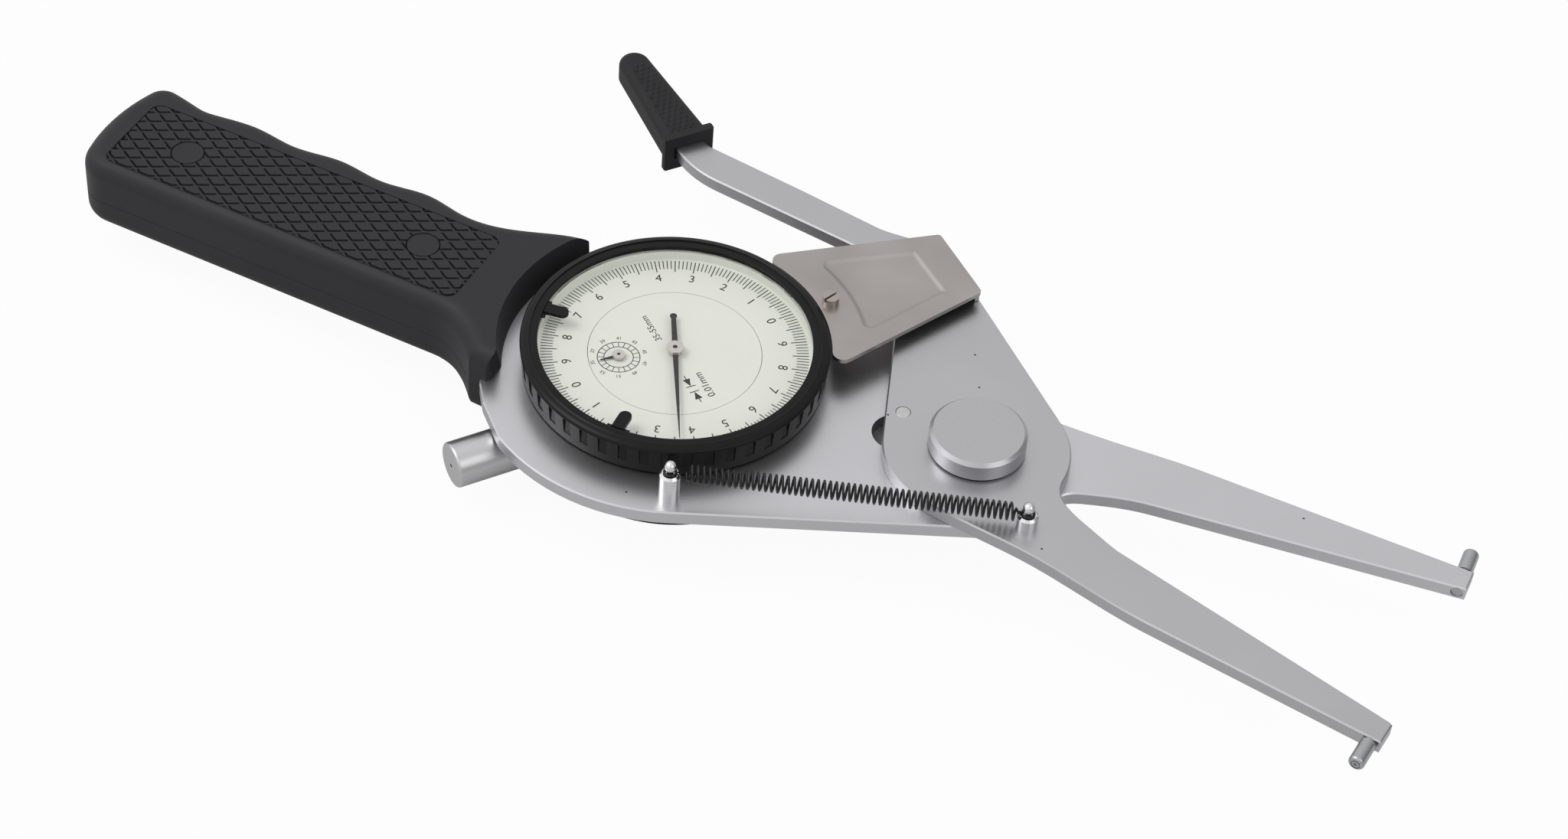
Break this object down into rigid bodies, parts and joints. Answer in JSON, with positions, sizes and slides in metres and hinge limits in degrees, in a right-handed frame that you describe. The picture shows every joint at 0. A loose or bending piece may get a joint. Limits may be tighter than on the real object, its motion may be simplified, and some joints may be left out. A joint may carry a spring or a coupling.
{
  "type": "internal_dial_caliper_gauge",
  "caption": "Hand-held internal dial caliper gauge: fixed and moving legs, finger lever, return spring, dial with turning bezel, black two-part handle.",
  "frame": {"origin": "on the back of the dial case, under the centre of the dial", "axes": "+X from the dial centre to the fixed leg, +Z out of the dial face, +Y to the finger lever"},
  "size_m": [0.2524, 0.1192, 0.0229],
  "materials": {
    "satin_steel": "satin ground steel plate",
    "bright_steel": "bright turned steel",
    "screw_steel": "turned steel",
    "cover_steel": "warm satin stainless sheet",
    "black_plastic": "fine textured black moulding",
    "bezel_black": "smooth black moulding",
    "grip_rubber": "dimpled soft grip",
    "blued_spring": "black spring wire",
    "dial_paint": "matt pale green-white print",
    "crystal_glass": "clear flat crystal",
    "movement_brass": "fine turned brass",
    "pointer_black": "black blade",
    "hub_steel": "polished hub"
  },
  "bodies": {
    "root": {"base_plate": "satin_steel", "pivot_shaft": "screw_steel", "pivot_washer": "blued_spring", "pivot_knob": "bright_steel", "cover_plate": "cover_steel", "cover_screw": "cover_steel", "cover_posts": "screw_steel", "spring_post_base": "bright_steel", "contact_pin_fixed": "bright_steel", "handle_front": "black_plastic", "handle_rear": "black_plastic", "handle_plugs": "black_plastic", "handle_screws": "screw_steel", "case": "black_plastic", "rear_cover": "black_plastic", "rear_screws": "screw_steel", "ring_nut": "screw_steel", "bezel_clip": "blued_spring", "inner_dial": "dial_paint", "movement_plate_lower": "movement_brass", "movement_plate_upper": "movement_brass", "movement_pillars": "movement_brass", "dial_feet": "movement_brass", "rack_bridge": "movement_brass", "stem_bush": "bright_steel", "rear_stem": "bright_steel", "barrel": "bright_steel", "return_spring": "blued_spring", "hairspring": "blued_spring"},
    "jaw": {"moving_jaw": "satin_steel", "lever_grip": "grip_rubber", "stop_pin": "bright_steel", "drive_pin": "screw_steel", "spring_post_jaw": "bright_steel", "contact_pin_moving": "bright_steel"},
    "spindle": {"spindle": "screw_steel", "spindle_foot": "screw_steel"},
    "rack_gear": {"rack_wheel": "movement_brass"},
    "pointer": {"centre_arbor": "screw_steel", "main_pointer": "pointer_black", "pointer_hub": "hub_steel"},
    "counter": {"counter_wheel": "movement_brass", "small_pointer": "pointer_black"},
    "bezel": {"bezel_ring": "bezel_black", "scale_ring": "dial_paint", "crystal": "crystal_glass"},
    "marker_a": {"tolerance_marker_a": "bezel_black"},
    "marker_b": {"tolerance_marker_b": "bezel_black"},
    "spring_coil": {"tension_spring": "blued_spring"},
    "spring_end": {"spring_end_loop": "blued_spring"}
  },
  "joints": [
    {"name": "jaw_pivot", "type": "hinge", "parent": "root", "child": "jaw", "pos_m": [0.0542, -0.0023, 0.0163], "axis": [0, 0, 1], "range_deg": [0, 14.5], "stiffness_Nm_per_rad": 0.4, "springref_deg": -22.92, "deforming": ["return_spring", "hairspring"]},
    {"name": "spindle_slide", "type": "slide", "parent": "root", "child": "spindle", "axis": [-0.7071, -0.7071, 0], "range_m": [0, 0.01033]},
    {"name": "rack_wheel_turn", "type": "hinge", "parent": "root", "child": "rack_gear", "pos_m": [0.00853, 0.00453, 0.0129], "axis": [0, 0, 1], "range_deg": [0, 371.72]},
    {"name": "pointer_turn", "type": "hinge", "parent": "root", "child": "pointer", "pos_m": [0, 0, 0.0129], "axis": [0, 0, 1], "range_deg": [-3717.14, 0]},
    {"name": "counter_turn", "type": "hinge", "parent": "root", "child": "counter", "pos_m": [-0.00853, -0.00453, 0.0129], "axis": [0, 0, 1], "range_deg": [0, 371.72]},
    {"name": "bezel_turn", "type": "hinge", "parent": "root", "child": "bezel", "pos_m": [0, 0, 0.017], "axis": [0, 0, 1], "continuous": true},
    {"name": "marker_a_turn", "type": "hinge", "parent": "bezel", "child": "marker_a", "pos_m": [0, 0, 0.0208], "axis": [0, 0, 1], "range_deg": [-120, 35]},
    {"name": "marker_b_turn", "type": "hinge", "parent": "bezel", "child": "marker_b", "pos_m": [0, 0, 0.0208], "axis": [0, 0, 1], "range_deg": [-35, 120]},
    {"name": "spring_swing", "type": "hinge", "parent": "root", "child": "spring_coil", "pos_m": [0.0091, -0.0291, 0.02077], "axis": [0, 0, 1], "range_deg": [0, 2.58]},
    {"name": "spring_stretch", "type": "slide", "parent": "spring_coil", "child": "spring_end", "axis": [0.9772, 0.2121, -0.0068], "range_m": [0, 0.00393], "deforming": ["tension_spring", "spring_end_loop"]}
  ],
  "couplings": [
    {"joint": "spindle_slide", "follows": "jaw_pivot", "m_per_rad": 0.0408},
    {"joint": "rack_wheel_turn", "follows": "jaw_pivot", "ratio": 25.635},
    {"joint": "pointer_turn", "follows": "jaw_pivot", "ratio": -256.35},
    {"joint": "counter_turn", "follows": "jaw_pivot", "ratio": 25.635},
    {"joint": "spring_swing", "follows": "jaw_pivot", "ratio": 0.17784},
    {"joint": "spring_stretch", "follows": "jaw_pivot", "m_per_rad": 0.015545}
  ]
}
